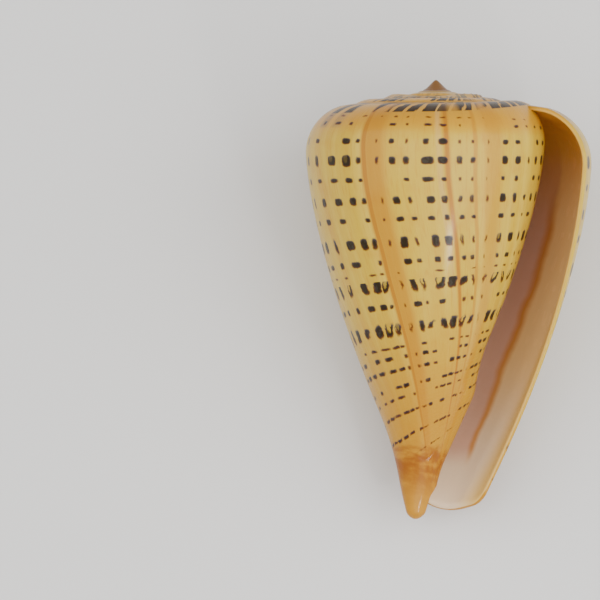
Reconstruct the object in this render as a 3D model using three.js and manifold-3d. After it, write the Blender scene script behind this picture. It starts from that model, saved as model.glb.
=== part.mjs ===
// A cone shell: one thick-walled, tightly rolled shell, lying on its back with the aperture facing up.
//
// The shell is first built upright about its coiling axis, with the apex at the origin and depth counted
// down the axis, and is then turned to lie on a table. Every whorl is the same outline, enlarged by the
// same factor for each turn of growth. Growth angles are in degrees: 0 is the direction of the outer lip
// (+X), negative angles are older shell, and growth runs clockwise seen from the apex.
//
// Units are millimetres.

import * as THREE from "three";
import { mergeVertices } from "three/addons/utils/BufferGeometryUtils.js";
import Module from "manifold-3d";

// Overall form
const LENGTH = 95; // apex to the tip of the columella
const LIP_RADIUS = 33.6; // greatest radius, at the outer lip
const WHORL_GROWTH = 1.43; // how much larger each whorl is than the one before

// Outline of the last whorl at the lip
const SUTURE_RADIUS = 20.4; // where the whorl leaves the one before
const APEX_HEIGHT = 2.85; // of the small steep cone in the middle of the spire
const APEX_WIDTH = 2.5; // radius over which that cone falls away
const SPIRE_SLOPE = 0.125; // fall of the wide flat spire round it
const SHOULDER_DEPTH = 12.6; // from the suture down to the widest level
const SIDE_DEPTH = 95.5; // from the widest level to where the side would meet the axis
const SIDE_POWER = 1.5; // over 1 gives a slightly convex side
const OUTLINE_END = 100; // depth below the suture at which the outline is closed
const BASE_BEND = 1; // how far the axis bends to the left at the base

// Walls and aperture
const LIP_ANGLE = 19; // how far the upper lip reaches forward
const LIP_THICKNESS = 1;
const WALL_THICKNESS = 2.2; // well inside the lip
const THICKENING_ANGLE = 30; // growth over which the lip thickens
const FLOOR_GLAZE = 0.3; // layer that the aperture's floor adds to the whorl under it
const CAVITY_START = 45;
const CAVITY_END = -600;
const CORNER_GAP = 0.6; // width of the cavity at the suture
const CORE_RADIUS = 0.4; // thin core left along the axis, which the columella swallows

// Base: the lower edge of the lip, as half an ellipse seen from the front
const BASE_LEVEL = 80;
const BASE_CENTRE_X = 3.6;
const BASE_HALF_WIDTH = 12.4;
const BASE_DROP = 13.5;

// Columella, whose tip stands out below the base
const TIP_X = -4.4;
const TIP_Y = 0.6;
const TIP_RADIUS = 1.6;
const TIP_TAPER = 0.29; // growth of its radius with height
const TIP_ROUNDING = 1.6; // height over which the tip is rounded off
const COLUMELLA_RADIUS = 9.5;
const COLUMELLA_FLATNESS = 0.75; // its depth from front to back against its width
const COLUMELLA_TOP = 40; // depth at which it is lost inside the spire
const BEND_HEIGHT = 41; // height above the tip over which it bends out from the axis

// How it lies
const REST_PITCH = 14.3; // degrees between the axis and the table
const CONTACT_FLAT = 0.3; // depth of the rubbed strip that it rests on

// Mesh fineness
const STEPS_PER_TURN = 40;
const TURNS = 5;
const RAMP_STEPS = 2;
const SIDE_STEPS = 17;
const CAVITY_STEPS = 13;
const COLUMELLA_SIDES = 24;
const COLUMELLA_RINGS = 12;
const BASE_STEPS = 20;
const LIP_STEPS = 8; // growth steps over which the sections swing forward to the lip's own line
const SIDE_SPACING = 1.35; // over 1 sets the steps closer together at the shoulder
const CAVITY_SPACING = 1.4;
const POLE_DEPTH = 90; // where the open side is closed on the axis, inside the columella
const SLOPE_STEP = 0.02; // between the two points that give the outline's direction
const HALVINGS = 24; // of a span that is searched for a crossing

const TURN = 360;
const { smoothstep, lerp, degToRad } = THREE.MathUtils;
const { cos, sin, pow, sqrt, exp, min, max } = Math;

const wasm = await Module();
wasm.setup();

// Size of the whorl at a growth angle, against the size at the lip.
const growth = (theta) => pow(WHORL_GROWTH, theta / TURN);

// Depth of the suture below the apex, which is the spire's own outline: a small cone on a wide flat one.
function sutureDepth(theta) {
  const radius = SUTURE_RADIUS * growth(theta);
  return APEX_HEIGHT * (1 - exp(-radius / APEX_WIDTH)) + SPIRE_SLOPE * radius;
}

// Radius of the full-size outline at a depth below its suture: a quarter ellipse round the shoulder,
// and below it a nearly straight side.
function outlineRadius(e) {
  if (e < SHOULDER_DEPTH) {
    const rise = 1 - e / SHOULDER_DEPTH;
    return SUTURE_RADIUS + (LIP_RADIUS - SUTURE_RADIUS) * sqrt(1 - rise * rise);
  }
  return LIP_RADIUS * (1 - pow((e - SHOULDER_DEPTH) / SIDE_DEPTH, SIDE_POWER));
}

// Depth on the shoulder's quarter ellipse at a radius.
function shoulderDepth(radius) {
  const out = (radius - SUTURE_RADIUS) / (LIP_RADIUS - SUTURE_RADIUS);
  return SHOULDER_DEPTH * (1 - sqrt(1 - out * out));
}

// The next whorl's suture lies on this radius of the full-size outline.
const RAMP_RADIUS = SUTURE_RADIUS * WHORL_GROWTH;
const RAMP_DEPTH = shoulderDepth(RAMP_RADIUS);

// A point of the whorl's outside, as radius and depth. Where the next whorl covers it, the ramp
// rises to meet that whorl's suture.
function whorlPoint(theta, radius, e) {
  const s = growth(theta);
  const free = smoothstep(theta, -TURN, -TURN + 90);
  const covered = sutureDepth(theta + TURN) - sutureDepth(theta) - s * RAMP_DEPTH;
  const share = e < RAMP_DEPTH
    ? (radius - SUTURE_RADIUS) / (RAMP_RADIUS - SUTURE_RADIUS)
    : max(0, 1 - (e - RAMP_DEPTH) / (SHOULDER_DEPTH - RAMP_DEPTH));
  return { r: s * radius, d: sutureDepth(theta) + s * e + (1 - free) * share * covered };
}

// Shift of the axis at a depth.
const bend = (depth) => -BASE_BEND * pow(depth / LENGTH, 2);

// Radius and depth in the half-plane of a growth angle, as a point in space.
function place(theta, { r, d }) {
  const a = -degToRad(theta);
  return new THREE.Vector3(r * cos(a) + bend(d), r * sin(a), -d);
}

// The columella's centre at a depth, which leans over to the left towards its tip.
function columellaCentre(depth) {
  const lean = 1 - smoothstep(LENGTH - depth, 0, BEND_HEIGHT);
  return new THREE.Vector3(TIP_X * lean, TIP_Y * lean, -depth);
}

// How far forward of +X the lip's edge stands at a depth below the suture.
const lipAngle = (e) => LIP_ANGLE * (1 - smoothstep(e, SHOULDER_DEPTH, OUTLINE_END));

function solidFrom(points, triangles) {
  const geometry = new THREE.BufferGeometry().setFromPoints(points).setIndex(triangles);
  return solidOf(geometry);
}

function solidOf(geometry) {
  geometry.deleteAttribute("normal");
  geometry.deleteAttribute("uv");
  const merged = mergeVertices(geometry, 1e-4);
  return new wasm.Manifold(
    new wasm.Mesh({
      numProp: 3,
      vertProperties: merged.attributes.position.array,
      triVerts: new Uint32Array(merged.index.array),
    }),
  );
}

// The whole outside, filled: the spire's ramps as one spiral strip, the last whorl's side down to the
// axis, and the flat step under the lip.
function body() {
  const points = [];
  const triangles = [];
  const rows = TURNS * STEPS_PER_TURN;
  const first = rows - STEPS_PER_TURN;
  const add = (point) => points.push(point) - 1;
  const quad = (a, b, c, d) => triangles.push(a, c, b, a, d, c);

  const rampAt = (theta, k) => {
    const radius = lerp(SUTURE_RADIUS, RAMP_RADIUS, k / RAMP_STEPS);
    return place(theta, whorlPoint(theta, radius, shoulderDepth(radius)));
  };
  const sideAt = (theta, k, forward) => {
    const share = k / SIDE_STEPS;
    const e = RAMP_DEPTH + (OUTLINE_END - RAMP_DEPTH) * pow(share, SIDE_SPACING);
    const turned = theta - (LIP_ANGLE - lipAngle(e)) * forward;
    return place(turned, whorlPoint(turned, outlineRadius(e), e));
  };

  // ids[n] lists the vertices of growth step n, from the suture outwards and down.
  const ids = [];
  for (let n = 0; n <= rows; n++) {
    const theta = LIP_ANGLE + (TURN * (n - rows)) / STEPS_PER_TURN;
    const row = [];
    for (let k = 0; k <= RAMP_STEPS; k++) {
      const shared = k === 0 && n >= STEPS_PER_TURN;
      row.push(shared ? ids[n - STEPS_PER_TURN][RAMP_STEPS] : add(rampAt(theta, k)));
    }
    const forward = smoothstep(n, rows - LIP_STEPS, rows);
    if (n >= first) for (let k = 1; k <= SIDE_STEPS; k++) row.push(add(sideAt(theta, k, forward)));
    ids.push(row);
  }
  const apex = add(new THREE.Vector3(0, 0, 0));
  const pole = add(new THREE.Vector3(bend(POLE_DEPTH), 0, -POLE_DEPTH));

  for (let n = 0; n < rows; n++) {
    const [a, b] = [ids[n], ids[n + 1]];
    for (let k = 0; k + 1 < min(a.length, b.length); k++) quad(a[k], a[k + 1], b[k + 1], b[k]);
    if (n < STEPS_PER_TURN) triangles.push(apex, b[0], a[0]);
    if (n >= first) triangles.push(a.at(-1), b.at(-1), pole);
  }
  // The start of the spire's strip, closed round the apex.
  for (let k = 0; k < RAMP_STEPS; k++) triangles.push(apex, ids[0][k], ids[0][k + 1]);

  // The step under the lip, between the lip's edge and the whorl one turn before it.
  const outer = [...ids[rows], pole];
  const inner = [...ids[first].slice(RAMP_STEPS), pole];
  for (let k = 0; k < RAMP_STEPS; k++) triangles.push(inner[0], outer[k + 1], outer[k]);
  for (let k = 0; k + 1 < inner.length; k++) {
    const o = k + RAMP_STEPS;
    quad(inner[k], outer[o], outer[o + 1], inner[k + 1]);
  }
  return solidFrom(points, triangles.filter(Number.isInteger));
}

// A point of the wall's inner face: the outline moved inwards, square to itself, by the wall's thickness.
function innerWallPoint(theta, e) {
  const here = whorlPoint(theta, outlineRadius(e), e);
  const next = whorlPoint(theta, outlineRadius(e + SLOPE_STEP), e + SLOPE_STEP);
  const [dr, dd] = [next.r - here.r, next.d - here.d];
  const t = wallThickness(theta) / sqrt(dr * dr + dd * dd);
  return { r: here.r - dd * t, d: here.d + dr * t };
}

// Thickness of the wall, which thins out towards the lip.
function wallThickness(theta) {
  const inside = smoothstep(LIP_ANGLE - theta, 0, THICKENING_ANGLE);
  return lerp(LIP_THICKNESS, WALL_THICKNESS, inside);
}

// Radius of the aperture's floor at a depth: the whorl underneath with its glaze, and a thin core below it.
function floorRadius(theta, depth) {
  const under = theta - TURN;
  let low = 0;
  let high = OUTLINE_END;
  for (let i = 0; i < HALVINGS; i++) {
    const middle = (low + high) / 2;
    if (whorlPoint(under, outlineRadius(middle), middle).d < depth) low = middle;
    else high = middle;
  }
  const deepest = whorlPoint(under, 0, OUTLINE_END).d;
  const radius = whorlPoint(under, outlineRadius(low), low).r;
  return depth > deepest ? CORE_RADIUS : max(radius + FLOOR_GLAZE, CORE_RADIUS);
}

// A point of the aperture's floor. Below the whorl underneath it follows the columella's centre.
function floorPoint(theta, d) {
  const r = floorRadius(theta, d);
  if (r > CORE_RADIUS) return place(theta, { r, d });
  const a = -degToRad(theta);
  return columellaCentre(d).add(new THREE.Vector3(r * cos(a), r * sin(a), 0));
}

// Depth on the outline at which the inner wall first clears the floor by a small gap.
function ceilingStart(theta) {
  let low = 0;
  let high = SHOULDER_DEPTH;
  for (let i = 0; i < HALVINGS; i++) {
    const middle = (low + high) / 2;
    const { r, d } = innerWallPoint(theta, middle);
    if (r < floorRadius(theta, d) + CORNER_GAP) low = middle;
    else high = middle;
  }
  return high;
}

// The room inside the shell: a section between the wall and the floor, carried backwards from the mouth.
function cavity() {
  const points = [];
  const triangles = [];
  const quad = (a, b, c, d) => triangles.push(a, b, c, a, c, d);
  const loop = 2 * CAVITY_STEPS;
  const rings = Math.round(((CAVITY_START - CAVITY_END) * STEPS_PER_TURN) / TURN);
  for (let n = 0; n <= rings; n++) {
    const theta = lerp(CAVITY_END, CAVITY_START, n / rings);
    const top = ceilingStart(theta);
    const wall = Array.from({ length: CAVITY_STEPS }, (_, k) =>
      innerWallPoint(theta, lerp(top, OUTLINE_END, pow(k / (CAVITY_STEPS - 1), CAVITY_SPACING))),
    );
    const floor = wall.map(({ d }) => floorPoint(theta, d)).reverse();
    points.push(...wall.map((p) => place(theta, p)), ...floor);
  }
  for (let n = 0; n < rings; n++) {
    for (let k = 0; k < loop; k++) {
      const [a, b] = [n * loop + k, n * loop + ((k + 1) % loop)];
      quad(a, a + loop, b + loop, b);
    }
  }
  for (let k = 0; k + 1 < CAVITY_STEPS; k++) {
    const [a, b, c, d] = [k, k + 1, loop - 2 - k, loop - 1 - k];
    quad(a, b, c, d);
    quad(...[a, d, c, b].map((i) => i + rings * loop));
  }
  return solidFrom(points, triangles);
}

// The pillar that the whorls wind round, tapering to a rounded tip that leans to the left of the axis.
function columella() {
  const points = [];
  const triangles = [];
  const top = LENGTH - COLUMELLA_TOP;
  for (let j = 0; j <= COLUMELLA_RINGS; j++) {
    const height = top * pow(j / COLUMELLA_RINGS, 2);
    const centre = columellaCentre(LENGTH - height);
    const rounding = sqrt(1 - pow(1 - min(height / TIP_ROUNDING, 1), 2));
    const radius = min(TIP_RADIUS + TIP_TAPER * height, COLUMELLA_RADIUS) * rounding;
    for (let i = 0; i < COLUMELLA_SIDES; i++) {
      const a = (2 * Math.PI * i) / COLUMELLA_SIDES;
      const [x, y] = [radius * cos(a), COLUMELLA_FLATNESS * radius * sin(a)];
      points.push(new THREE.Vector3(x, y, 0).add(centre));
    }
  }
  const end = points.push(new THREE.Vector3(0, 0, -COLUMELLA_TOP)) - 1;
  for (let j = 0; j < COLUMELLA_RINGS; j++) {
    for (let i = 0; i < COLUMELLA_SIDES; i++) {
      const [a, b] = [j * COLUMELLA_SIDES, j * COLUMELLA_SIDES + COLUMELLA_SIDES];
      const next = (i + 1) % COLUMELLA_SIDES;
      triangles.push(a + i, a + next, b + next, a + i, b + next, b + i);
    }
  }
  const last = COLUMELLA_RINGS * COLUMELLA_SIDES;
  for (let i = 0; i < COLUMELLA_SIDES; i++) {
    triangles.push(last + i, last + ((i + 1) % COLUMELLA_SIDES), end);
  }
  return solidFrom(points, triangles);
}

// Everything below the shell's lower edge, as a block seen end-on from the front.
function belowBase() {
  const outline = new THREE.Shape();
  outline.moveTo(-LIP_RADIUS, -BASE_LEVEL);
  outline.lineTo(BASE_CENTRE_X - BASE_HALF_WIDTH, -BASE_LEVEL);
  outline.absellipse(
    BASE_CENTRE_X, -BASE_LEVEL, BASE_HALF_WIDTH, BASE_DROP, Math.PI, 2 * Math.PI, false, 0,
  );
  outline.lineTo(LIP_RADIUS, -BASE_LEVEL);
  outline.lineTo(LIP_RADIUS, -2 * LENGTH);
  outline.lineTo(-LIP_RADIUS, -2 * LENGTH);
  const span = 3 * LIP_RADIUS;
  const options = { depth: span, bevelEnabled: false, curveSegments: BASE_STEPS };
  const block = new THREE.ExtrudeGeometry(outline, options);
  return solidOf(block.rotateX(Math.PI / 2).translate(0, span / 2, 0));
}

function geometryOf(solid) {
  const mesh = solid.getMesh();
  const geometry = new THREE.BufferGeometry();
  geometry.setAttribute("position", new THREE.BufferAttribute(mesh.vertProperties, 3));
  geometry.setIndex(new THREE.BufferAttribute(mesh.triVerts, 1));
  return geometry;
}

// Lays the upright shell on its back, with its lowest sliver below the table.
function layDown(geometry) {
  geometry.rotateX(degToRad(REST_PITCH - 90));
  geometry.computeBoundingBox();
  const box = geometry.boundingBox;
  const middle = box.getCenter(new THREE.Vector3());
  return geometry.translate(-middle.x, -middle.y, -box.min.z - CONTACT_FLAT);
}

// Everything under the table.
function table() {
  const size = 4 * LENGTH;
  return solidOf(new THREE.BoxGeometry(size, size, size).translate(0, 0, -size / 2));
}

const upright = body().subtract(cavity()).subtract(belowBase()).add(columella());
const resting = solidOf(layDown(geometryOf(upright))).subtract(table());
const finished = geometryOf(resting).toNonIndexed();
finished.computeVertexNormals();
const material = new THREE.MeshStandardMaterial({ color: 0xd6b470, roughness: 0.35, metalness: 0 });
const coneShell = new THREE.Mesh(finished, material);
coneShell.name = "cone_shell";

const group = new THREE.Group();
group.add(coneShell);
export default group;
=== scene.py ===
"""A glossy cone shell lying on its back on a pale table, with its aperture facing up.

The shell is drawn upright first, in millimetres: the coiling axis is vertical, the apex is at the origin
and depth is counted down the axis. Growth angles are in degrees. 0 is the outer lip's direction (+X),
negative angles are older shell, and growth runs clockwise seen from the apex. The finished mesh is then
turned to its resting place and put into metres.
"""

import math

import bpy
import numpy as np
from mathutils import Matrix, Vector


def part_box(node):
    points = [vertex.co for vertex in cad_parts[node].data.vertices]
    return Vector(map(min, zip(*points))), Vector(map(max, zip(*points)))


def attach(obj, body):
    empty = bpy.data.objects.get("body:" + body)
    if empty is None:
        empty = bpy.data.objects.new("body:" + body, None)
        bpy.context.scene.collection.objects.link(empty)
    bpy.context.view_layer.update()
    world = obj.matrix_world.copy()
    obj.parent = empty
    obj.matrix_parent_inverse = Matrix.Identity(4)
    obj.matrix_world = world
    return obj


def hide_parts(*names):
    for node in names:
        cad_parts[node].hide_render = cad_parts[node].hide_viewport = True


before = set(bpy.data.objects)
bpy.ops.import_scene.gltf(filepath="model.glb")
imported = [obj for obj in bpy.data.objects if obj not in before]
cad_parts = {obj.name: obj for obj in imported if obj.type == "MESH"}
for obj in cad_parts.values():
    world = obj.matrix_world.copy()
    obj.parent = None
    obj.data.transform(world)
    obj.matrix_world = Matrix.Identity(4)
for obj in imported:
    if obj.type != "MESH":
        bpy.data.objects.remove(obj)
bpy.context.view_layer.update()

NODE = "cone_shell"
MM = 0.001
TURN = 360.0

# Overall form
LENGTH = 95.0
LIP_RADIUS = 33.6
WHORL_GROWTH = 1.43  # for each turn
FREEING_ANGLE = 90.0  # over which the whorl rises from under the next one

# Outline of the last whorl at the lip
SUTURE_RADIUS = 20.4
APEX_HEIGHT = 2.85
APEX_WIDTH = 2.5
SPIRE_SLOPE = 0.125
SHOULDER_DEPTH = 12.6
SIDE_DEPTH = 95.5
SIDE_POWER = 1.5
OUTLINE_END = 100.0
BASE_BEND = 1.0
DEEPEST = 107.0  # no point of the outline is asked for below this

# Walls and lip
LIP_ANGLE = 19.0
LIP_THICKNESS = 1.0
WALL_THICKNESS = 2.2
THICKENING_ANGLE = 30.0
THINNING_POWER = 0.6  # how the wall's thickness follows the whorl's size
LIP_CORNER = 3.0  # rounding where the lip runs into the lower edge
CORNER_RADIUS = LIP_RADIUS / 3  # how far that corner stands from the axis
OLDEST_TURN = -7.0
BUD_RADIUS = 3.2  # of the smooth bud over the oldest whorls
BUD_PROUD = 0.1
BUD_RIM_SINK = 4.0  # how far the rim lies below the middle, against the spire, in times BUD_PROUD
BUD_FLOOR = 0.8  # depth of the bud's buried underside below its rim
BUD_FLOOR_SHARE = 0.9  # radius of that underside, against the rim's
TIP_BLUNTNESS = 0.8
BURIED_TURN = -1.6  # older whorls than this keep only their ramp and shoulder
BURYING = 0.2  # turns over which their sides shorten
SUTURE_SINK = 0.4  # how far each whorl's top edge reaches into the whorl before

# Lower edge of the shell, half an ellipse seen from the front, which is looked for by halving
HIGHEST_EDGE = 40.0
HALVINGS = 30
BASE_LEVEL = 80.0
BASE_CENTRE_X = 3.6
BASE_HALF_WIDTH = 12.4
BASE_DROP = 13.5

# Columella
TIP_X = -4.4
TIP_Y = 0.6
TIP_RADIUS = 1.6
TIP_TAPER = 0.29
TIP_ROUNDING = 1.6
COLUMELLA_RADIUS = 9.5
COLUMELLA_FLATNESS = 0.75
COLUMELLA_TOP = 40.0
BEND_HEIGHT = 41.0
FILLET = 2.4  # how far apart wall and columella start to run into each other
FILLET_START = 6.0  # height above the tip at which the columella swells in full

# How it lies
REST_PITCH = 14.3
CONTACT_FLAT = 0.3

# The table, in metres, and the camera's long lens, in millimetres
TABLE_SIZE = 6.0
FOCAL_LENGTH = 1200.0
SENSOR_WIDTH = 36.0

# The view: where the apex stands, in shares of the view's width from its middle
VIEW_WIDTH = 129.8
APEX_RIGHT = 0.2267
APEX_UP = 0.3667

# Rows of spots: level below the widest part on the full-size whorl, half height, share of the full
# width, and how much the spots break into strokes
ROW_CENTRE = 16.0
ROW_VALUES = ["row", "offset", "half_height", "fill", "stroke"]
ROWS = [
    (-10.1, 0.22, 0.6, 0.0),
    (-8.0, 0.46, 0.7, 0.0),
    (-3.3, 0.78, 0.8, 0.0),
    (2.0, 1.40, 1.0, 0.1),
    (7.3, 0.75, 0.9, 0.0),
    (13.0, 1.35, 1.0, 0.1),
    (18.2, 0.72, 0.9, 0.0),
    (24.7, 1.65, 1.0, 0.4),
    (29.9, 0.80, 0.9, 0.1),
    (33.0, 0.32, 0.6, 0.0),
    (36.3, 2.05, 1.0, 1.0),
    (41.9, 0.80, 0.9, 0.1),
    (48.2, 1.75, 0.9, 1.0),
    (53.0, 0.40, 0.8, 0.0),
    (55.7, 0.64, 0.9, 0.0),
    (59.0, 0.62, 0.8, 0.0),
    (63.4, 0.55, 0.9, 0.1),
    (66.2, 0.42, 0.7, 0.0),
    (70.3, 0.42, 1.0, 0.1),
    (76.0, 0.42, 1.2, 0.1),
    (81.2, 0.20, 1.6, 0.0),
]

# Columns of spots: place behind the lip in turns, and the half width of a big spot in it
COLUMNS = [
    (0.012, 1.2), (0.035, 0.7), (0.062, 1.0), (0.091, 0.9), (0.120, 1.1), (0.147, 1.1), (0.171, 1.1),
    (0.195, 0.4), (0.219, 1.5), (0.252, 0.5), (0.281, 1.6), (0.298, 0.5), (0.317, 1.6), (0.334, 0.5),
    (0.349, 1.0), (0.374, 1.1), (0.402, 1.1), (0.432, 1.0), (0.462, 0.9), (0.492, 1.0), (0.519, 0.9),
    (0.545, 1.0), (0.573, 0.9), (0.609, 0.9), (0.646, 1.3), (0.675, 1.2), (0.692, 0.6), (0.720, 0.2),
    (0.742, 1.1), (0.761, 0.4), (0.790, 1.2), (0.811, 0.9), (0.835, 0.5), (0.852, 0.5), (0.875, 0.15),
    (0.904, 0.8), (0.931, 0.9), (0.957, 0.4), (0.981, 0.9),
]
RAMP_LEAN = 0.024  # how far the pattern lags behind at the suture, in turns

# Pauses in growth, as orange bands along the growth lines: place behind the lip, half width, strength,
# and how far they lean back over the full height. A pale strip, given the same way, runs beside one of
# them: it is a painted highlight.
PAUSES = [
    (0.250, 0.022, 0.55, 0.0),
    (0.335, 0.007, 0.35, 0.0),
    (0.415, 0.012, 0.30, 0.0),
    (0.610, 0.014, 0.30, 0.0),
    (0.702, 0.008, 1.00, 0.0),
    (0.716, 0.026, 0.85, 0.0),
    (0.817, 0.0065, 1.00, 0.016),
    (0.857, 0.005, 0.70, 0.004),
    (0.884, 0.026, 0.55, 0.0),
]
# A pale pinkish strip beside the band at 0.817, which is a painted highlight: place, half width, strength
# and lean
PAINTED_HIGHLIGHT_STRIP = (0.806, 0.006, 0.4, 0.016)
FULL_HEIGHT = 80.0  # over which the bands lean back
INNER_LINE = 0.128  # rusty line inside the aperture, in turns behind the lip
LINE_HALF_WIDTH = 0.017
MARGIN_WIDTHS = (0.8, 6.5)  # of the golden margin inside the lip, full and faded

# Where a whorl's outside lies inside the shell and is glazed over: turns behind the lip, ramp shares
GLAZED_TURNS = (1.02, 1.05)
GLAZED_SHARES = (1, 1.3)

# What the pattern is told off the whorls: millimetres behind the lip, and ramp shares
FAR_BEHIND = 60.0
BELOW_RAMP = 9.0
ON_RAMP = 0.5

# Noise units in one turn: about one for each millimetre round the shoulder, or for each two
FINE_TURN = 200.0
COARSE_TURN = 120.0

# Where the ground colours of the outside change, from and to: levels, depths and distances from the tip
SHOULDER_LEVELS = (-9.5, -4)
ORANGE_LEVELS = (35, 78)
# Levels over which the painted highlight strip fades out
HIGHLIGHT_FADE_LEVELS = (20, 55)
TIP_DEPTHS = (83, 92)
BASE_DISTANCES = (17.0, 21.5)
SPOTLESS_DISTANCES = (14.5, 17.0)
PALE_TOP_DEPTHS = (3.1, 4.0)
APEX_DEPTHS = (2.2, 2.9)
SMEAR_LEVELS = ((-13.0, -11.5), (-7.5, -6.5))

# Relief: height of the growth lines, and where the spiral threads start and end
RELIEF_DEPTH = 0.2
THREAD_LEVELS = (46, 72)
THREAD_DEPTHS = (78, 86)

# Where the colours of the inside change, as depths
BROWN_NEAR_DEPTHS = (8, 32)
BROWN_DEEP_DEPTHS = (8, 38)
LINE_DEPTHS = (20, 34)
PALE_DEPTHS = (58, 84)
FOOT_DEPTHS = (80, 85)


def smoothstep(x, low, high):
    """A smooth rise from 0 at low to 1 at high."""
    t = np.clip((x - low) / (high - low), 0, 1)
    return t * t * (3 - 2 * t)


def quarter_round(x):
    """A rise from 0 to 1 as x goes from 0 to 1, along a quarter of a circle."""
    return np.sqrt(1 - (1 - np.clip(x, 0, 1)) ** 2)


def growth(theta):
    """Size of the whorl at a growth angle, against the size at the lip: one factor for each turn."""
    return WHORL_GROWTH ** (theta / TURN)


def spire_depth(radius):
    """The spire's own outline below the apex: a small cone, which levels out, on a wide flat one."""
    return APEX_HEIGHT * (1 - np.exp(-radius / APEX_WIDTH)) + SPIRE_SLOPE * radius


def suture_depth(theta):
    """Depth of the suture below the apex."""
    return spire_depth(SUTURE_RADIUS * growth(theta))


def outline_radius(e):
    """Radius of the full-size outline, from its depth below its suture: a quarter ellipse, then a power."""
    shoulder = SUTURE_RADIUS + (LIP_RADIUS - SUTURE_RADIUS) * quarter_round(e / SHOULDER_DEPTH)
    fall = (np.maximum(e - SHOULDER_DEPTH, 0) / SIDE_DEPTH) ** SIDE_POWER
    return np.where(e < SHOULDER_DEPTH, shoulder, LIP_RADIUS * (1 - fall))


def shoulder_depth(radius):
    """Depth on the shoulder's quarter ellipse at a radius."""
    out = (radius - SUTURE_RADIUS) / (LIP_RADIUS - SUTURE_RADIUS)
    return SHOULDER_DEPTH * (1 - math.sqrt(1 - out * out))


RAMP_RADIUS = SUTURE_RADIUS * WHORL_GROWTH
RAMP_DEPTH = shoulder_depth(RAMP_RADIUS)


def ramp_share(e):
    """0 at the suture, 1 where the next whorl's suture lies, and more below it."""
    share = (outline_radius(e) - SUTURE_RADIUS) / (RAMP_RADIUS - SUTURE_RADIUS)
    return share + np.maximum(e - SHOULDER_DEPTH, 0)


def whorl_point(theta, e):
    """Radius and depth on the whorl's outside. A covered ramp is stretched to the next whorl's suture."""
    s = growth(theta)
    free = smoothstep(theta, -TURN, -TURN + FREEING_ANGLE)
    covered = suture_depth(theta + TURN) - suture_depth(theta) - s * RAMP_DEPTH
    below = np.clip(1 - (e - RAMP_DEPTH) / (SHOULDER_DEPTH - RAMP_DEPTH), 0, 1)
    share = np.where(e < RAMP_DEPTH, np.minimum(ramp_share(e), 1), below)
    radius = s * (outline_radius(e) - SUTURE_SINK * np.clip(1 - e, 0, 1))
    depth = suture_depth(theta) + s * e + (1 - free) * share * covered
    return radius, depth


def outline_normal(theta, e):
    """Unit normal of the outline in the half-plane, from the difference of two near points."""
    step = 0.02
    r0, d0 = whorl_point(theta, np.maximum(e - step, 0))
    r1, d1 = whorl_point(theta, e + step)
    length = np.maximum(np.hypot(r1 - r0, d1 - d0), 1e-9)
    return (d1 - d0) / length, -(r1 - r0) / length


def bend(depth):
    """Shift of the axis to the left, growing with the square of depth."""
    return -BASE_BEND * (depth / LENGTH) ** 2


def place(theta, r, d):
    """Radius and depth in the half-plane of a growth angle, as points in space."""
    a = -np.radians(theta)
    return np.stack([r * np.cos(a) + bend(d), r * np.sin(a), -d + 0 * r], axis=-1)


def growth_line(turn, e):
    """Growth angle along a growth line. Each copies the lip, which is drawn back towards the base."""
    return turn * TURN + LIP_ANGLE * (1 - smoothstep(e, SHOULDER_DEPTH, OUTLINE_END))


def lower_edge(turn):
    """Depth on the outline at which the shell's lower edge cuts each growth line, found by halving."""
    low = np.full_like(turn, HIGHEST_EDGE)
    high = np.full_like(turn, OUTLINE_END)
    for _ in range(HALVINGS):
        middle = (low + high) / 2
        theta = growth_line(turn, middle)
        r, d = whorl_point(theta, middle)
        across = np.clip((place(theta, r, d)[..., 0] - BASE_CENTRE_X) / BASE_HALF_WIDTH, -1, 1)
        above = d < BASE_LEVEL + BASE_DROP * np.sqrt(1 - across * across)
        low = np.where(above, middle, low)
        high = np.where(above, high, middle)
    return low


def wall_thickness(turn):
    """Full thickness well behind the lip, thinner at the lip and in the small old whorls."""
    inside = smoothstep(-turn * TURN, 0, THICKENING_ANGLE)
    thickness = LIP_THICKNESS + (WALL_THICKNESS - LIP_THICKNESS) * inside
    return thickness * growth(turn * TURN) ** THINNING_POWER


def columella_rise(height):
    """Centre line and radius of the pillar above its tip: it leans left, widens, then keeps its width."""
    lean = 1 - smoothstep(height, 0, BEND_HEIGHT)
    radius = np.minimum(TIP_RADIUS + TIP_TAPER * height, COLUMELLA_RADIUS)
    radius = radius * quarter_round(height / TIP_ROUNDING)
    return TIP_X * lean, TIP_Y * lean, radius


def merging(gap):
    """How far two surfaces swell where they run into each other: a parabola of the gap between them."""
    return FILLET / 4 * np.clip(1 - np.abs(gap) / FILLET, 0, 1) ** 2


def grid_faces(ids, closed):
    """Two triangles for each cell of a grid of vertex numbers, leaving out those with no area."""
    if closed:
        ids = np.concatenate([ids, ids[:, :1]], axis=1)
    a, b, c, d = ids[:-1, :-1], ids[:-1, 1:], ids[1:, 1:], ids[1:, :-1]
    quads = np.stack([a, b, c, d], axis=-1).reshape(-1, 4)
    faces = np.concatenate([quads[:, [0, 1, 2]], quads[:, [0, 2, 3]]])
    x, y, z = faces.T
    return faces[(x != y) & (y != z) & (z != x)]


def ring_turns():
    """Where the growth lines lie, in turns: wide apart on the old whorls, and closer towards the lip."""
    old = np.arange(OLDEST_TURN, -2, 1 / 32)
    middle = np.arange(-2, -1, 1 / 60)
    last = np.arange(-1, -0.01, 1 / 144)
    lip = -0.008 * (1 - np.linspace(0, 1, 14)) ** 2.2
    return np.concatenate([old, middle, last, lip])[:, None]


def outline_shares():
    """Where the points lie along each growth line, as shares of it.

    They are even on the shoulder. Below it they close up towards the lower edge, by a power curve.
    """
    shoulder_share = 0.16
    shoulder = np.linspace(0, shoulder_share, 22)[:-1]
    side = 1 - (1 - shoulder_share) * (1 - np.linspace(0, 1, 60)) ** 1.5
    return np.concatenate([shoulder, side])[None, :]


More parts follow.
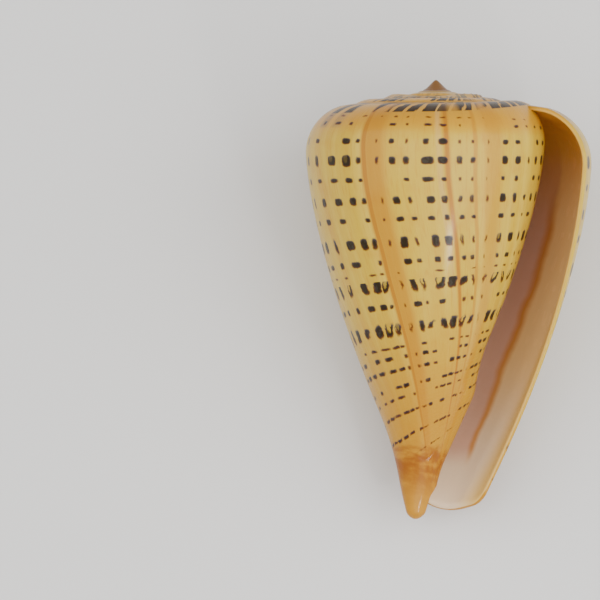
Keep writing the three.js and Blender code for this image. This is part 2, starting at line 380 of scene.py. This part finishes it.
def corner_lift(turn):
    """How far the lower edge rises near the lip: a quarter circle, so that the lip's corner is round."""
    behind = -np.radians(turn * TURN) * CORNER_RADIUS
    return LIP_CORNER * (1 - quarter_round(behind / LIP_CORNER))


def whorls():
    """The rolled wall: an outline with a thickness, carried round the axis as it grows.

    Each ring is a growth line. It runs down the outside, round the lower edge and back up the inside.
    The first ring is a point at the apex, and the last closes in a half-round lip. The outside swells
    a little where the columella comes near, so that the two run into each other.
    """
    turn = ring_turns()
    kept = smoothstep(turn, BURIED_TURN - BURYING, BURIED_TURN)
    end = SHOULDER_DEPTH + (lower_edge(turn) - corner_lift(turn) - SHOULDER_DEPTH) * kept
    e = outline_shares() * end
    theta = growth_line(turn, e)
    r, d = whorl_point(theta, e)
    nr, nd = outline_normal(theta, e)

    half = wall_thickness(turn) / 2
    behind = -np.radians(turn * TURN) * r
    lip_round = quarter_round(behind / half)
    edge_round = quarter_round((end - e) * growth(theta) / half)
    swell = half * np.minimum(lip_round, edge_round)

    skin = place(theta, r, d)
    centre_x, centre_y, radius = columella_rise(LENGTH - d)
    gap = np.hypot(skin[..., 0] - centre_x, (skin[..., 1] - centre_y) / COLUMELLA_FLATNESS) - radius
    out = half - swell - merging(gap)
    outer = place(theta, r - nr * out, d - nd * out)
    inner = place(theta, r - nr * (half + swell), d - nd * (half + swell))
    points = np.concatenate([outer, inner[:, ::-1]], axis=1)
    points[0] = points[0].mean(axis=0)

    rings, loop = points.shape[:2]
    ids = np.arange(rings * loop).reshape(rings, loop)
    ids[0] = 0
    half_loop = loop // 2
    ids[-1, half_loop:] = ids[-1, :half_loop][::-1]
    ids[:, half_loop] = ids[:, half_loop - 1]

    def both_sides(values):
        values = values + 0 * e
        return np.concatenate([values, values[:, ::-1]], axis=1)

    glazed = smoothstep(-turn, *GLAZED_TURNS) * smoothstep(ramp_share(e), *GLAZED_SHARES)
    marks = pattern_marks(turn, theta, r, d, ramp_share(e))
    marks["from_tip"] = distance_from_tip(skin)
    marks = {name: both_sides(values) for name, values in marks.items()}
    marks["inside"] = np.concatenate([glazed, 1 + 0 * e], axis=1)
    marks["behind_lip"] = both_sides(behind)
    return points.reshape(-1, 3), grid_faces(ids, closed=True), marks


def pattern_marks(turn, theta, r, d, ramp):
    """What the colours follow at each vertex: growth, level, and where it stands among the columns.

    A column's number rises by one from each column to the next, through its place at number + 1/2. Its
    step is the distance between columns there. On the ramp the pattern leans back towards the suture.
    """
    back = -turn - RAMP_LEAN * (1 - np.clip(ramp, 0, 1))
    whole = np.floor(back)
    count = len(COLUMNS)
    places, widths = np.array(COLUMNS).T
    places = np.concatenate([[0.0], places, [1.0]])
    widths = np.concatenate([widths[:1], widths, widths[-1:]])
    numbers = np.concatenate([[0.0], np.arange(count) + 0.5, [count]])
    share = back - whole
    steps = np.interp(share, (places[1:] + places[:-1]) / 2, np.diff(places) / np.diff(numbers))
    return {
        "turn": turn + 0 * r,
        "level": (d - ROW_CENTRE) / growth(theta),
        "ramp": ramp + 0 * r,
        "depth": d + 0 * r,
        "column": count * whole + np.interp(share, places, numbers) + 0 * r,
        "step": 2 * math.pi * r * steps,
        "width": np.interp(share, places, widths) + 0 * r,
    }


def distance_from_tip(points):
    """Straight distance of each point from the tip of the columella."""
    return np.sqrt(((points - np.array([TIP_X, TIP_Y, -LENGTH])) ** 2).sum(axis=-1))


def columella():
    """The pillar: flattened rings round a centre line that leans to the left towards a rounded tip.

    It swells a little where the wall comes near, and its colours go on from those of the last whorl.
    """
    height = (LENGTH - COLUMELLA_TOP) * np.linspace(0, 1, 70)[:, None] ** 2
    angle = np.linspace(0, 2 * math.pi, 120, endpoint=False)[None, :]
    centre_x, centre_y, radius = columella_rise(height)
    x = centre_x + radius * np.cos(angle)
    y = centre_y + COLUMELLA_FLATNESS * radius * np.sin(angle)
    depth = LENGTH - height + 0 * angle
    theta = -np.degrees(np.arctan2(y, x - bend(depth)))
    theta = np.where(theta > 0, theta - TURN, theta)
    below = (depth - suture_depth(theta)) / growth(theta)
    wall_r, _ = whorl_point(theta, np.minimum(below, DEEPEST))
    rise = merging(np.hypot(x - bend(depth), y) - wall_r) * np.minimum(height / FILLET_START, 1)
    x = x + rise * np.cos(angle)
    y = y + rise * np.sin(angle)
    x[-1], y[-1] = centre_x[-1], centre_y[-1]
    points = np.stack([x, y, -depth], axis=-1)

    ids = np.arange(x.size).reshape(x.shape)
    ids[0] = ids[0, 0]
    ids[-1] = ids[-1, 0]
    marks = pattern_marks((theta - growth_line(0, below)) / TURN, theta, wall_r, depth, BELOW_RAMP)
    marks["from_tip"] = distance_from_tip(points)
    marks["inside"] = 0 * depth
    marks["behind_lip"] = FAR_BEHIND + 0 * depth
    return points.reshape(-1, 3), grid_faces(ids, closed=True), marks


def bud():
    """The smooth tip of the spire: the spire's own outline, rounded at its top, turned about the axis.

    It stands a little proud of the oldest whorls, sinks into the spire at its rim and is closed below.
    """
    radius = BUD_RADIUS * np.linspace(0, 1, 40)[:, None] ** 1.3
    share = radius / BUD_RADIUS
    rounding = 1 - np.exp(-radius / TIP_BLUNTNESS)
    depth = spire_depth(radius) * rounding - BUD_PROUD * rounding * (1 - BUD_RIM_SINK * share**3)
    floor = depth[-1:] + BUD_FLOOR
    radius = np.concatenate([radius, [[BUD_RADIUS * BUD_FLOOR_SHARE], [0.0]]])
    depth = np.concatenate([depth, floor, floor])
    angle = np.linspace(0, 2 * math.pi, 72, endpoint=False)[None, :]
    points = np.stack([radius * np.cos(angle), -radius * np.sin(angle), -depth + 0 * angle], axis=-1)

    ids = np.arange(radius.size * angle.size).reshape(radius.size, angle.size)
    ids[0] = ids[0, 0]
    ids[-1] = ids[-1, 0]
    flat = 0 * angle
    marks = pattern_marks(OLDEST_TURN, OLDEST_TURN * TURN, radius + flat, depth + flat, ON_RAMP)
    marks["from_tip"] = distance_from_tip(points)
    marks["inside"] = 0 * points[..., 0]
    marks["behind_lip"] = FAR_BEHIND + 0 * points[..., 0]
    return points.reshape(-1, 3), grid_faces(ids, closed=True), marks


def resting_place(points):
    """Turn and offset that lay upright points on their back over the CAD node, as a matrix and a vector.

    The apex is the upright points' origin, so the offset is also where the apex comes to lie.
    """
    a = math.radians(REST_PITCH - 90)
    turn = np.array([[1, 0, 0], [0, math.cos(a), -math.sin(a)], [0, math.sin(a), math.cos(a)]]) * MM
    laid = points @ turn.T
    low, high = laid.min(axis=0), laid.max(axis=0)
    node_low, node_high = (np.array(corner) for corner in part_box(NODE))
    offset = (node_low + node_high - low - high) / 2
    offset[2] = node_low[2] - low[2] - CONTACT_FLAT * MM
    return turn, offset


def build_mesh(name, parts):
    """One mesh from several closed surfaces, laid down, with their marks on its vertices, and the apex.

    The lowest sliver is rubbed flat at the height of the CAD node's base.
    """
    points = np.concatenate([p for p, _, _ in parts])
    turn, apex = resting_place(points)
    laid = points @ turn.T + apex
    laid[:, 2] = np.maximum(laid[:, 2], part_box(NODE)[0][2])
    starts = np.cumsum([0] + [len(p) for p, _, _ in parts[:-1]])
    faces = np.concatenate([f + start for (_, f, _), start in zip(parts, starts)])
    used, packed = np.unique(faces, return_inverse=True)
    mesh = bpy.data.meshes.new(name)
    mesh.from_pydata(laid[used], [], packed.reshape(-1, 3))
    for key in parts[0][2]:
        values = np.concatenate([(marks[key] + 0.0).ravel() for _, _, marks in parts])[used]
        attribute = mesh.attributes.new(key, "FLOAT", "POINT")
        attribute.data.foreach_set("value", values.astype(np.float32))
    mesh.shade_smooth()
    return mesh, Vector(apex)


class Nodes:
    """Short ways to add and link nodes in one node tree."""

    def __init__(self, tree):
        self.tree = tree

    def add(self, kind, **settings):
        node = self.tree.nodes.new(kind)
        for key, value in settings.items():
            setattr(node, key, value)
        return node

    def link(self, source, socket):
        """Links an output, or sets a plain value."""
        if isinstance(source, bpy.types.NodeSocket):
            self.tree.links.new(source, socket)
        else:
            socket.default_value = source

    def math(self, operation, *inputs):
        node = self.add("ShaderNodeMath", operation=operation)
        for source, socket in zip(inputs, node.inputs):
            self.link(source, socket)
        return node.outputs[0]

    def plus(self, a, b):
        return self.math("ADD", a, b)

    def minus(self, a, b):
        return self.math("SUBTRACT", a, b)

    def times(self, first, *others):
        for other in others:
            first = self.math("MULTIPLY", first, other)
        return first

    def step(self, value, low, high):
        """A smooth rise from 0 to 1 between low and high."""
        node = self.add("ShaderNodeMapRange", interpolation_type="SMOOTHSTEP")
        self.link(value, node.inputs["Value"])
        self.link(low, node.inputs["From Min"])
        self.link(high, node.inputs["From Max"])
        return node.outputs["Result"]

    def fall(self, value, low, high):
        """A smooth fall from 1 to 0 between low and high."""
        return self.minus(1.0, self.step(value, low, high))

    def mix(self, factor, a, b):
        """A colour between a and b, by the mix node's sockets for colours."""
        node = self.add("ShaderNodeMix", data_type="RGBA")
        self.link(factor, node.inputs["Factor"])
        for source, socket in ((a, node.inputs[6]), (b, node.inputs[7])):
            self.link((*source, 1) if isinstance(source, tuple) else source, socket)
        return node.outputs[2]

    def combine(self, x, y, z):
        node = self.add("ShaderNodeCombineXYZ")
        for source, socket in zip((x, y, z), node.inputs):
            self.link(source, socket)
        return node.outputs[0]

    def noise(self, x, y, seed, scale, detail):
        """Noise from 0 to 1 over x and y. Each seed gives another one."""
        node = self.add("ShaderNodeTexNoise", noise_dimensions="3D")
        self.link(self.combine(x, y, seed), node.inputs["Vector"])
        node.inputs["Scale"].default_value = scale
        node.inputs["Detail"].default_value = detail
        return node.outputs["Fac"]

    def push(self, x, y, seed, scale, detail):
        """Noise from -1/2 to 1/2."""
        return self.minus(self.noise(x, y, seed, scale, detail), 0.5)

    def random(self, x, y, z):
        """A fixed random number for each whole-number cell."""
        node = self.add("ShaderNodeTexWhiteNoise", noise_dimensions="3D")
        self.link(self.combine(x, y, z), node.inputs["Vector"])
        return node.outputs["Value"]

    def mark(self, name):
        return self.add("ShaderNodeAttribute", attribute_name=name).outputs["Fac"]

    def steps(self, position, stops):
        """Three values that change at once from each stop to the next, held in a colour ramp."""
        node = self.add("ShaderNodeValToRGB")
        node.color_ramp.interpolation = "CONSTANT"
        elements = node.color_ramp.elements
        for index, (start, values) in enumerate(stops):
            element = elements[index] if index < 2 else elements.new(start)
            element.position = start
            element.color = (*values, 1)
        self.link(position, node.inputs[0])
        split = self.add("ShaderNodeSeparateColor")
        self.link(node.outputs["Color"], split.inputs[0])
        return list(split.outputs)


def new_group(name, inputs, outputs):
    """An empty shader node group with float inputs and outputs."""
    tree = bpy.data.node_groups.new(name, "ShaderNodeTree")
    for label in inputs:
        tree.interface.new_socket(label, in_out="INPUT", socket_type="NodeSocketFloat")
    for label in outputs:
        tree.interface.new_socket(label, in_out="OUTPUT", socket_type="NodeSocketFloat")
    nodes = Nodes(tree)
    return nodes, nodes.add("NodeGroupInput").outputs, nodes.add("NodeGroupOutput").inputs


def spot_cells():
    """Group: the spots of one row, one in each column, as soft rounded rectangles.

    The rectangle is the curve where the cubes of the shares across and up add to 1. Each spot is a
    little wider or narrower than its column and is pushed about by noise. Where the row is one of
    strokes, the noise is stronger, the spots slant and a bite is taken out of some of them. The small
    rows leave out more spots. The core is a spot's darkest part, and upper is its upper half.
    """
    inputs = ["turn", "level", "column", "step", "width", *ROW_VALUES]
    n, given, result = new_group("spot_cells", inputs, ["mask", "core", "big", "upper"])
    cell = n.math("FLOOR", given["column"])
    across = n.minus(n.math("FRACT", given["column"]), 0.5)
    wide, moved, tall = (n.random(cell, given["row"], seed) for seed in (1.0, 2.0, 3.0))
    span = n.times(given["turn"], FINE_TURN)
    warp = n.plus(0.7, n.times(given["stroke"], 0.7))
    push_x = n.push(span, given["level"], 3.0, 0.5, 2.0)
    push_y = n.push(span, given["level"], 9.0, 0.5, 2.0)

    x = n.plus(n.times(across, given["step"]), n.times(push_x, warp))
    x = n.plus(x, n.times(n.minus(moved, 0.5), 0.4))
    y = n.plus(given["offset"], n.times(push_y, warp))
    full = n.times(given["width"], given["fill"])
    slant = n.times(given["stroke"], n.minus(wide, 0.3), 0.5)
    x = n.math("MULTIPLY_ADD", y, slant, x)
    width = n.times(full, n.math("MULTIPLY_ADD", wide, 0.7, 0.65))
    width = n.math("MINIMUM", width, n.times(given["step"], 0.42))
    small = n.step(given["width"], 0.15, 0.9)
    height = n.times(n.plus(0.5, n.times(small, 0.4)), given["half_height"])
    height = n.times(height, n.plus(0.85, n.times(tall, 0.4)))

    x_share = n.math("DIVIDE", x, width)
    y_share = n.math("DIVIDE", y, height)
    cube_x = n.math("POWER", n.math("ABSOLUTE", x_share), 3.0)
    cube_y = n.math("POWER", n.math("ABSOLUTE", y_share), 3.0)
    reach = n.math("POWER", n.plus(cube_x, cube_y), 1 / 3)
    thin = n.math("MINIMUM", width, height)
    away = n.times(n.minus(reach, 1.0), thin)
    bite_x = n.math("POWER", n.math("DIVIDE", n.plus(x_share, 0.25), 0.5), 2.0)
    bite_y = n.math("POWER", n.math("DIVIDE", n.plus(y_share, 0.45), 0.8), 2.0)
    bite = n.fall(n.plus(bite_x, bite_y), 0.3, 1.2)
    bite = n.times(bite, given["stroke"], n.step(moved, 0.6, 0.7))

    soft_edge = n.fall(away, -0.14, 0.18)
    wide_enough = n.step(width, 0.07, 0.16)
    left_out = n.minus(0.3, n.times(given["half_height"], 0.22))
    kept = n.math("GREATER_THAN", tall, left_out)
    n.link(n.times(soft_edge, wide_enough, kept, n.minus(1.0, n.times(bite, 0.85))), result["mask"])
    n.link(n.fall(away, -0.45, 0.04), result["core"])
    n.link(n.step(thin, 0.22, 0.5), result["big"])
    n.link(n.fall(y_share, -0.7, 0.5), result["upper"])
    return n.tree


def row_table():
    """Group: the nearest row of spots at a level, looked up in the list of rows.

    Two colour ramps hold the list, so levels, heights and fills are put in as shares from 0 to 1.
    """
    n, given, result = new_group("row_table", ["level"], ROW_VALUES)
    levels = [row[0] for row in ROWS]
    low, high = levels[0] - 2, levels[-1] + 3
    tallest, fullest = 4.0, 2.0
    position = n.math("DIVIDE", n.minus(given["level"], low), high - low)
    first, second = [], []
    for index, (level, half, fill, stroke) in enumerate(ROWS):
        above = levels[index - 1] if index else low
        start = ((above + level) / 2 - low) / (high - low) if index else 0.0
        first.append((start, (index / len(ROWS), half / tallest, fill / fullest)))
        second.append((start, (stroke, (level - low) / (high - low), 0.0)))
    (number, half, fill), (stroke, centre, _) = n.steps(position, first), n.steps(position, second)
    nearest = n.plus(n.times(centre, high - low), low)
    n.link(n.math("ROUND", n.times(number, float(len(ROWS)))), result["row"])
    n.link(n.minus(given["level"], nearest), result["offset"])
    n.link(n.times(half, tallest), result["half_height"])
    n.link(n.times(fill, fullest), result["fill"])
    n.link(stroke, result["stroke"])
    return n.tree


def growth_bands():
    """Group: orange bands where growth paused, with soft flanks, and fine pale and dark growth lines."""
    n, given, result = new_group("growth_bands", ["turn", "level"], ["band", "strip", "pale", "line"])
    wander = n.push(n.times(given["level"], 0.05), 0.0, 1.0, 1.0, 1.0)
    back = n.math("MULTIPLY_ADD", wander, 0.008, n.times(given["turn"], -1.0))

    def stripe(behind_lip, width, strength, lean):
        middle = n.math("MULTIPLY_ADD", given["level"], lean / FULL_HEIGHT, behind_lip)
        away = n.math("ABSOLUTE", n.minus(back, middle))
        return n.times(n.fall(away, width * 0.25, width), strength)

    band = 0.0
    for pause in PAUSES:
        band = n.math("MAXIMUM", band, stripe(*pause))
    n.link(band, result["band"])
    # The strip is a painted highlight beside one of the bands
    n.link(stripe(*PAINTED_HIGHLIGHT_STRIP), result["strip"])
    n.link(n.step(n.noise(back, 0.0, 7.0, 34.0, 2.0), 0.45, 0.75), result["pale"])
    n.link(n.noise(back, n.times(given["level"], 0.0006), 5.0, 260.0, 3.0), result["line"])
    return n.tree


def use_group(n, tree, **inputs):
    """Puts a group in a node tree, with its inputs linked by name."""
    node = n.add("ShaderNodeGroup", node_tree=tree)
    for name, source in inputs.items():
        n.link(source, node.inputs[name])
    return node.outputs


# Finishes, as linear colours
CREAM = (0.57, 0.37, 0.024)
PALE_CREAM = (0.71, 0.51, 0.07)
ORANGE = (0.46, 0.19, 0.006)
DEEP_ORANGE = (0.34, 0.115, 0.005)
SHOULDER_TINT = (0.55, 0.25, 0.008)
# Painted highlight: the pale pink of the strip beside one growth band
PAINTED_HIGHLIGHT_PINK = (0.60, 0.38, 0.13)
BASE_BROWN = (0.29, 0.085, 0.003)
TIP_TAN = (0.50, 0.23, 0.015)
RED_BROWN = (0.11, 0.025, 0.006)
BLACK_BROWN = (0.006, 0.003, 0.003)
# Blue-grey and grey in the big spots and the blotches' hearts: partly the markings' own haze, partly
# painted reflection
BLUE_GREY_HAZE_AND_SHEEN = (0.040, 0.036, 0.055)
GREY_HAZE_AND_SHEEN = (0.07, 0.068, 0.065)
SMEAR = (0.20, 0.12, 0.055)
APEX_TINT = (0.19, 0.085, 0.022)
SUTURE_CREAM = (0.60, 0.44, 0.20)
PORCELAIN = (0.74, 0.55, 0.35)
LIP_GOLD = (0.66, 0.40, 0.07)
INNER_TAN = (0.82, 0.54, 0.22)
INNER_BROWN = (0.66, 0.31, 0.05)
INNER_MAUVE = (0.62, 0.36, 0.24)
INNER_RUST = (0.56, 0.22, 0.04)


def outside_ground(n, marks, bands):
    """Colour of the outside without its spots: cream with orange bands, an orange shoulder and base."""
    turn, level, depth = marks["turn"], marks["level"], marks["depth"]
    ground = n.mix(n.times(bands["pale"], 0.7), CREAM, PALE_CREAM)
    mottle = n.noise(n.times(turn, 60.0), n.times(level, 0.25), 0.0, 0.5, 3.0)
    ground = n.mix(n.times(n.step(mottle, 0.45, 0.8), 0.35), ground, ORANGE)
    ground = n.mix(n.times(n.step(level, *ORANGE_LEVELS), 0.75), ground, ORANGE)
    high = n.fall(level, *SHOULDER_LEVELS)
    ground = n.mix(n.times(high, 0.8), ground, SHOULDER_TINT)
    # Painted highlight: a pale pinkish strip beside one growth band, fading out lower down
    highlight_fade = n.fall(level, *HIGHLIGHT_FADE_LEVELS)
    ground = n.mix(n.times(bands["strip"], highlight_fade), ground, PAINTED_HIGHLIGHT_PINK)
    ground = n.mix(n.times(bands["band"], 0.9), ground, ORANGE)
    ground = n.mix(n.times(n.step(bands["band"], 0.86, 1.0), 0.4), ground, DEEP_ORANGE)
    fine = n.step(bands["line"], 0.50, 0.72)
    ground = n.mix(n.times(fine, 0.3), ground, ORANGE)
    streaks = n.noise(n.times(marks["from_tip"], 0.5), n.times(turn, 10.0), 2.0, 1.0, 4.0)
    base = n.mix(n.step(streaks, 0.42, 0.70), BASE_BROWN, ORANGE)
    base = n.mix(n.times(n.step(depth, *TIP_DEPTHS), 0.8), base, TIP_TAN)
    edge = n.math("MULTIPLY_ADD", streaks, 6.0, marks["from_tip"])
    return n.mix(n.fall(edge, *BASE_DISTANCES), ground, base)


def outside_colour(n, marks, bands):
    """Colour of the outside and a mask of its dark markings: rows of spots, ramp blotches and smears."""
    turn, level, ramp, depth = marks["turn"], marks["level"], marks["ramp"], marks["depth"]
    ground = outside_ground(n, marks, bands)
    table = use_group(n, row_table(), level=level)
    cells = {name: marks[name] for name in ("turn", "level", "column", "step", "width")}
    rows = {name: table[name] for name in ROW_VALUES}
    spots = use_group(n, spot_cells(), **cells, **rows)
    on_side = n.step(ramp, 0.99, 1.02)
    mask = n.times(spots["mask"], on_side, n.step(marks["from_tip"], *SPOTLESS_DISTANCES))
    # Big spots get a blue-grey upper half and grey clouds in the core: partly their own haze, partly
    # painted reflection
    edge = n.mix(n.times(spots["upper"], spots["big"]), RED_BROWN, BLUE_GREY_HAZE_AND_SHEEN)
    ink = n.mix(n.times(spots["core"], spots["big"]), edge, BLACK_BROWN)
    span = n.times(turn, FINE_TURN)
    haze_and_sheen = n.step(n.noise(span, level, 5.0, 0.7, 2.0), 0.5, 0.7)
    ink = n.mix(n.times(haze_and_sheen, spots["core"], spots["big"], 0.2), ink, GREY_HAZE_AND_SHEEN)
    colour = n.mix(smears(n, marks), ground, SMEAR)
    colour = n.mix(n.times(mask, 0.97), colour, ink)

    # The blotches' grey hearts are partly their own haze and partly painted reflection
    blotch, heart = ramp_blotches(n, marks)
    ink = n.mix(heart, BLACK_BROWN, GREY_HAZE_AND_SHEEN)
    ink = n.mix(n.step(blotch, 0.2, 0.8), RED_BROWN, ink)
    colour = n.mix(n.times(blotch, 0.95), colour, ink)
    thread = n.fall(n.math("ABSOLUTE", ramp), 0.02, 0.09)
    colour = n.mix(n.times(thread, 0.8), colour, SUTURE_CREAM)
    pale_top = n.fall(depth, *PALE_TOP_DEPTHS)
    colour = n.mix(n.times(pale_top, 0.6), colour, SUTURE_CREAM)
    apex = n.fall(depth, *APEX_DEPTHS)
    return n.mix(apex, colour, APEX_TINT), n.math("MAXIMUM", mask, blotch)


def smears(n, marks):
    """Mask of the greyish smears on the shoulder, in some of the columns on the shell's back."""
    cell = n.math("FLOOR", marks["column"])
    across = n.math("ABSOLUTE", n.minus(n.math("FRACT", marks["column"]), 0.5))
    in_column = n.fall(across, 0.2, 0.42)
    chosen = n.step(n.random(cell, 7.0, 7.0), 0.4, 0.6)
    above, below = SMEAR_LEVELS
    on_shoulder = n.times(n.step(marks["level"], *above), n.fall(marks["level"], *below))
    on_back = n.step(marks["turn"], -0.68, -0.62)
    return n.times(in_column, chosen, on_shoulder, on_back, 0.6)


def ramp_blotches(n, marks):
    """Masks of the dark leaning blotches on the flat top of each whorl, and of their grey hearts.

    There is one in each column, with a random width and top. Some are left out, one by one and in
    groups, and so are those next to the lip and on the oldest whorls.
    """
    cell = n.math("FLOOR", marks["column"])
    across = n.minus(n.math("FRACT", marks["column"]), 0.5)
    span = n.times(marks["turn"], COARSE_TURN)
    push = n.push(span, marks["ramp"], 6.0, 0.5, 2.0)
    x = n.math("MULTIPLY_ADD", across, marks["step"], n.times(push, 2.8))
    size = n.times(marks["step"], n.math("MULTIPLY_ADD", n.random(cell, 4.0, 4.0), 0.38, 0.17))
    size = n.math("MINIMUM", size, n.times(marks["width"], 2.4))
    away = n.minus(n.math("ABSOLUTE", x), size)
    soft_edge = n.fall(away, -0.12, 0.15)
    top = n.math("MULTIPLY_ADD", n.random(cell, 5.0, 5.0), 0.5, -0.05)
    below_top = n.step(marks["ramp"], top, n.plus(top, 0.12))
    on_ramp = n.fall(marks["ramp"], 0.93, 0.98)
    wide_enough = n.step(marks["width"], 0.1, 0.4)
    kept = n.math("GREATER_THAN", n.random(cell, 8.0, 8.0), 0.16)
    groups = n.noise(n.times(marks["turn"], 14.0), 0.0, 8.0, 1.0, 1.0)
    in_group = n.step(groups, 0.39, 0.44)
    clear_of_lip = n.fall(marks["turn"], -0.08, -0.04)
    not_old = n.step(marks["turn"], -5.2, -2.4)
    mask = n.times(soft_edge, on_ramp, below_top, wide_enough, kept, in_group, clear_of_lip, not_old)
    # The hearts' grey is partly the blotches' own haze and partly painted reflection
    return mask, n.times(n.fall(away, -1.5, -0.6), 0.12)


def inside_colour(n, turn, depth, behind_lip):
    """Colour of the inside: brown at the top, then tan near the lip and mauve behind a rusty line.

    Its foot is porcelain, and a golden margin follows the lip.
    """
    ripple = n.push(n.times(depth, 0.12), n.times(turn, 9.0), 0.0, 1.0, 3.0)
    back = n.math("MULTIPLY_ADD", ripple, 0.02, n.times(turn, -1.0))
    near = n.mix(n.step(depth, *BROWN_NEAR_DEPTHS), INNER_BROWN, INNER_TAN)
    near = n.mix(n.step(depth, *PALE_DEPTHS), near, PORCELAIN)
    deep = n.mix(n.step(depth, *BROWN_DEEP_DEPTHS), INNER_BROWN, INNER_MAUVE)
    colour = n.mix(n.step(back, INNER_LINE - 0.006, INNER_LINE + 0.004), near, deep)
    line = n.fall(n.math("ABSOLUTE", n.minus(back, INNER_LINE)), 0.0, LINE_HALF_WIDTH)
    colour = n.mix(n.times(line, n.step(depth, *LINE_DEPTHS), 0.85), colour, INNER_RUST)
    colour = n.mix(n.step(depth, *FOOT_DEPTHS), colour, PORCELAIN)
    margin = n.fall(behind_lip, *MARGIN_WIDTHS)
    return n.mix(n.times(margin, 0.85), colour, LIP_GOLD)


def shell_material():
    """Glossy shell: the outside's pattern and the inside's porcelain, with fine growth lines as relief.

    Spiral threads run round the lower half, and the pauses in growth are shallow scars. The dark
    markings have a thinner glaze.
    """
    material = bpy.data.materials.new("glazed_shell")
    material.use_nodes = True
    n = Nodes(material.node_tree)
    n.tree.nodes.clear()
    names = ("turn", "level", "ramp", "depth", "column", "step", "width", "from_tip")
    marks = {name: n.mark(name) for name in names}
    bands = use_group(n, growth_bands(), turn=marks["turn"], level=marks["level"])
    outside, spots = outside_colour(n, marks, bands)
    interior = inside_colour(n, marks["turn"], marks["depth"], n.mark("behind_lip"))
    inside = n.step(n.mark("inside"), 0.3, 0.7)
    colour = n.mix(inside, outside, interior)

    turn, level = marks["turn"], marks["level"]
    lines = n.noise(turn, n.times(level, 0.0008), 2.0, 420.0, 3.0)
    wander = n.noise(n.times(turn, 12.0), n.times(level, 0.3), 4.0, 1.0, 2.0)
    threads = n.math("SINE", n.math("MULTIPLY_ADD", level, 5.6, n.times(wander, 6.0)))
    threads = n.times(threads, n.step(level, *THREAD_LEVELS), n.fall(marks["depth"], *THREAD_DEPTHS))
    relief = n.math("MULTIPLY_ADD", threads, 0.2, lines)
    scars = n.times(bands["band"], n.minus(1.0, inside))
    relief = n.math("MULTIPLY_ADD", scars, -0.8, relief)
    bump = n.add("ShaderNodeBump")
    bump.inputs["Strength"].default_value = 0.3
    bump.inputs["Distance"].default_value = RELIEF_DEPTH * MM
    n.link(relief, bump.inputs["Height"])

    shader = n.add("ShaderNodeBsdfPrincipled")
    shader.inputs["IOR"].default_value = 1.53
    shader.inputs["Specular IOR Level"].default_value = 0.12
    shader.inputs["Coat Roughness"].default_value = 0.15
    rough = n.math("MULTIPLY_ADD", n.minus(lines, 0.5), 0.16, 0.38)
    rough = n.math("MULTIPLY_ADD", spots, -0.05, rough)
    n.link(rough, shader.inputs["Roughness"])
    n.link(n.math("MULTIPLY_ADD", spots, -0.2, 0.3), shader.inputs["Coat Weight"])
    n.link(colour, shader.inputs["Base Color"])
    n.link(bump.outputs["Normal"], shader.inputs["Normal"])
    output = n.add("ShaderNodeOutputMaterial")
    n.link(shader.outputs["BSDF"], output.inputs["Surface"])
    return material


def table_material():
    """Plain pale matt surface."""
    material = bpy.data.materials.new("pale_table")
    material.use_nodes = True
    shader = material.node_tree.nodes["Principled BSDF"]
    shader.inputs["Base Color"].default_value = (0.72, 0.71, 0.69, 1)
    shader.inputs["Roughness"].default_value = 0.8
    return material


def add_shell():
    """The whole shell as one piece, in place of the CAD node."""
    mesh, apex = build_mesh("shell_wall", [whorls(), columella(), bud()])
    shell = bpy.data.objects.new("shell", mesh)
    bpy.context.scene.collection.objects.link(shell)
    mesh.materials.append(shell_material())
    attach(shell, "root")
    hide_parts(NODE)
    return apex


def add_table():
    """A wide flat square at the height of the CAD model's base."""
    half = TABLE_SIZE / 2
    mesh = bpy.data.meshes.new("table")
    corners = [(-half, -half, 0), (half, -half, 0), (half, half, 0), (-half, half, 0)]
    mesh.from_pydata(corners, [], [(0, 1, 2, 3)])
    mesh.materials.append(table_material())
    table = bpy.data.objects.new("table", mesh)
    bpy.context.scene.collection.objects.link(table)


def add_light(name, middle, towards, size, power, colour):
    """A soft square or oblong light, some way off in a direction from the middle, which it faces."""
    data = bpy.data.lights.new(name, "AREA")
    data.shape = "RECTANGLE"
    data.size, data.size_y = size
    data.energy = power
    data.color = colour
    light = bpy.data.objects.new(name, data)
    light.location = middle + Vector(towards)
    light.rotation_euler = (middle - light.location).to_track_quat("-Z", "Y").to_euler()
    bpy.context.scene.collection.objects.link(light)


def add_lights(middle):
    """Large soft lights from the left, above and the right, a small one for a highlight, a pale room."""
    warm, cool = (1.0, 0.98, 0.95), (0.96, 0.98, 1.0)
    add_light("left", middle, (-0.55, 0.05, 0.60), (0.95, 1.00), 4.3, warm)
    add_light("above", middle, (0.18, -0.30, 0.95), (1.30, 1.30), 9.0, warm)
    add_light("right", middle, (0.60, -0.10, 0.50), (0.85, 0.85), 5.0, cool)
    add_light("highlight", middle, (0.32, -0.54, 0.51), (0.09, 0.09), 1.0, cool)
    world = bpy.data.worlds.new("room")
    world.use_nodes = True
    background = world.node_tree.nodes["Background"]
    background.inputs["Color"].default_value = (0.95, 0.96, 1.0, 1)
    background.inputs["Strength"].default_value = 0.6
    bpy.context.scene.world = world


def add_camera(apex):
    """A long lens square to the shell's axis, which leaves the shell in the right half of the view."""
    data = bpy.data.cameras.new("camera")
    data.lens = FOCAL_LENGTH
    data.sensor_width = SENSOR_WIDTH
    camera = bpy.data.objects.new("camera", data)
    tilt = math.radians(90 - REST_PITCH)
    towards = Vector((0, -math.cos(tilt), math.sin(tilt)))
    upwards = Vector((0, math.sin(tilt), math.cos(tilt)))
    width = VIEW_WIDTH * MM
    aim = apex - width * (APEX_RIGHT * Vector((1, 0, 0)) + APEX_UP * upwards)
    camera.location = aim + towards * width * data.lens / data.sensor_width
    camera.rotation_euler = (-towards).to_track_quat("-Z", "Y").to_euler()
    bpy.context.scene.collection.objects.link(camera)
    bpy.context.scene.camera = camera


apex = add_shell()
add_table()
low, high = (Vector(corner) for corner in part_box(NODE))
add_lights((low + high) / 2)
add_camera(apex)
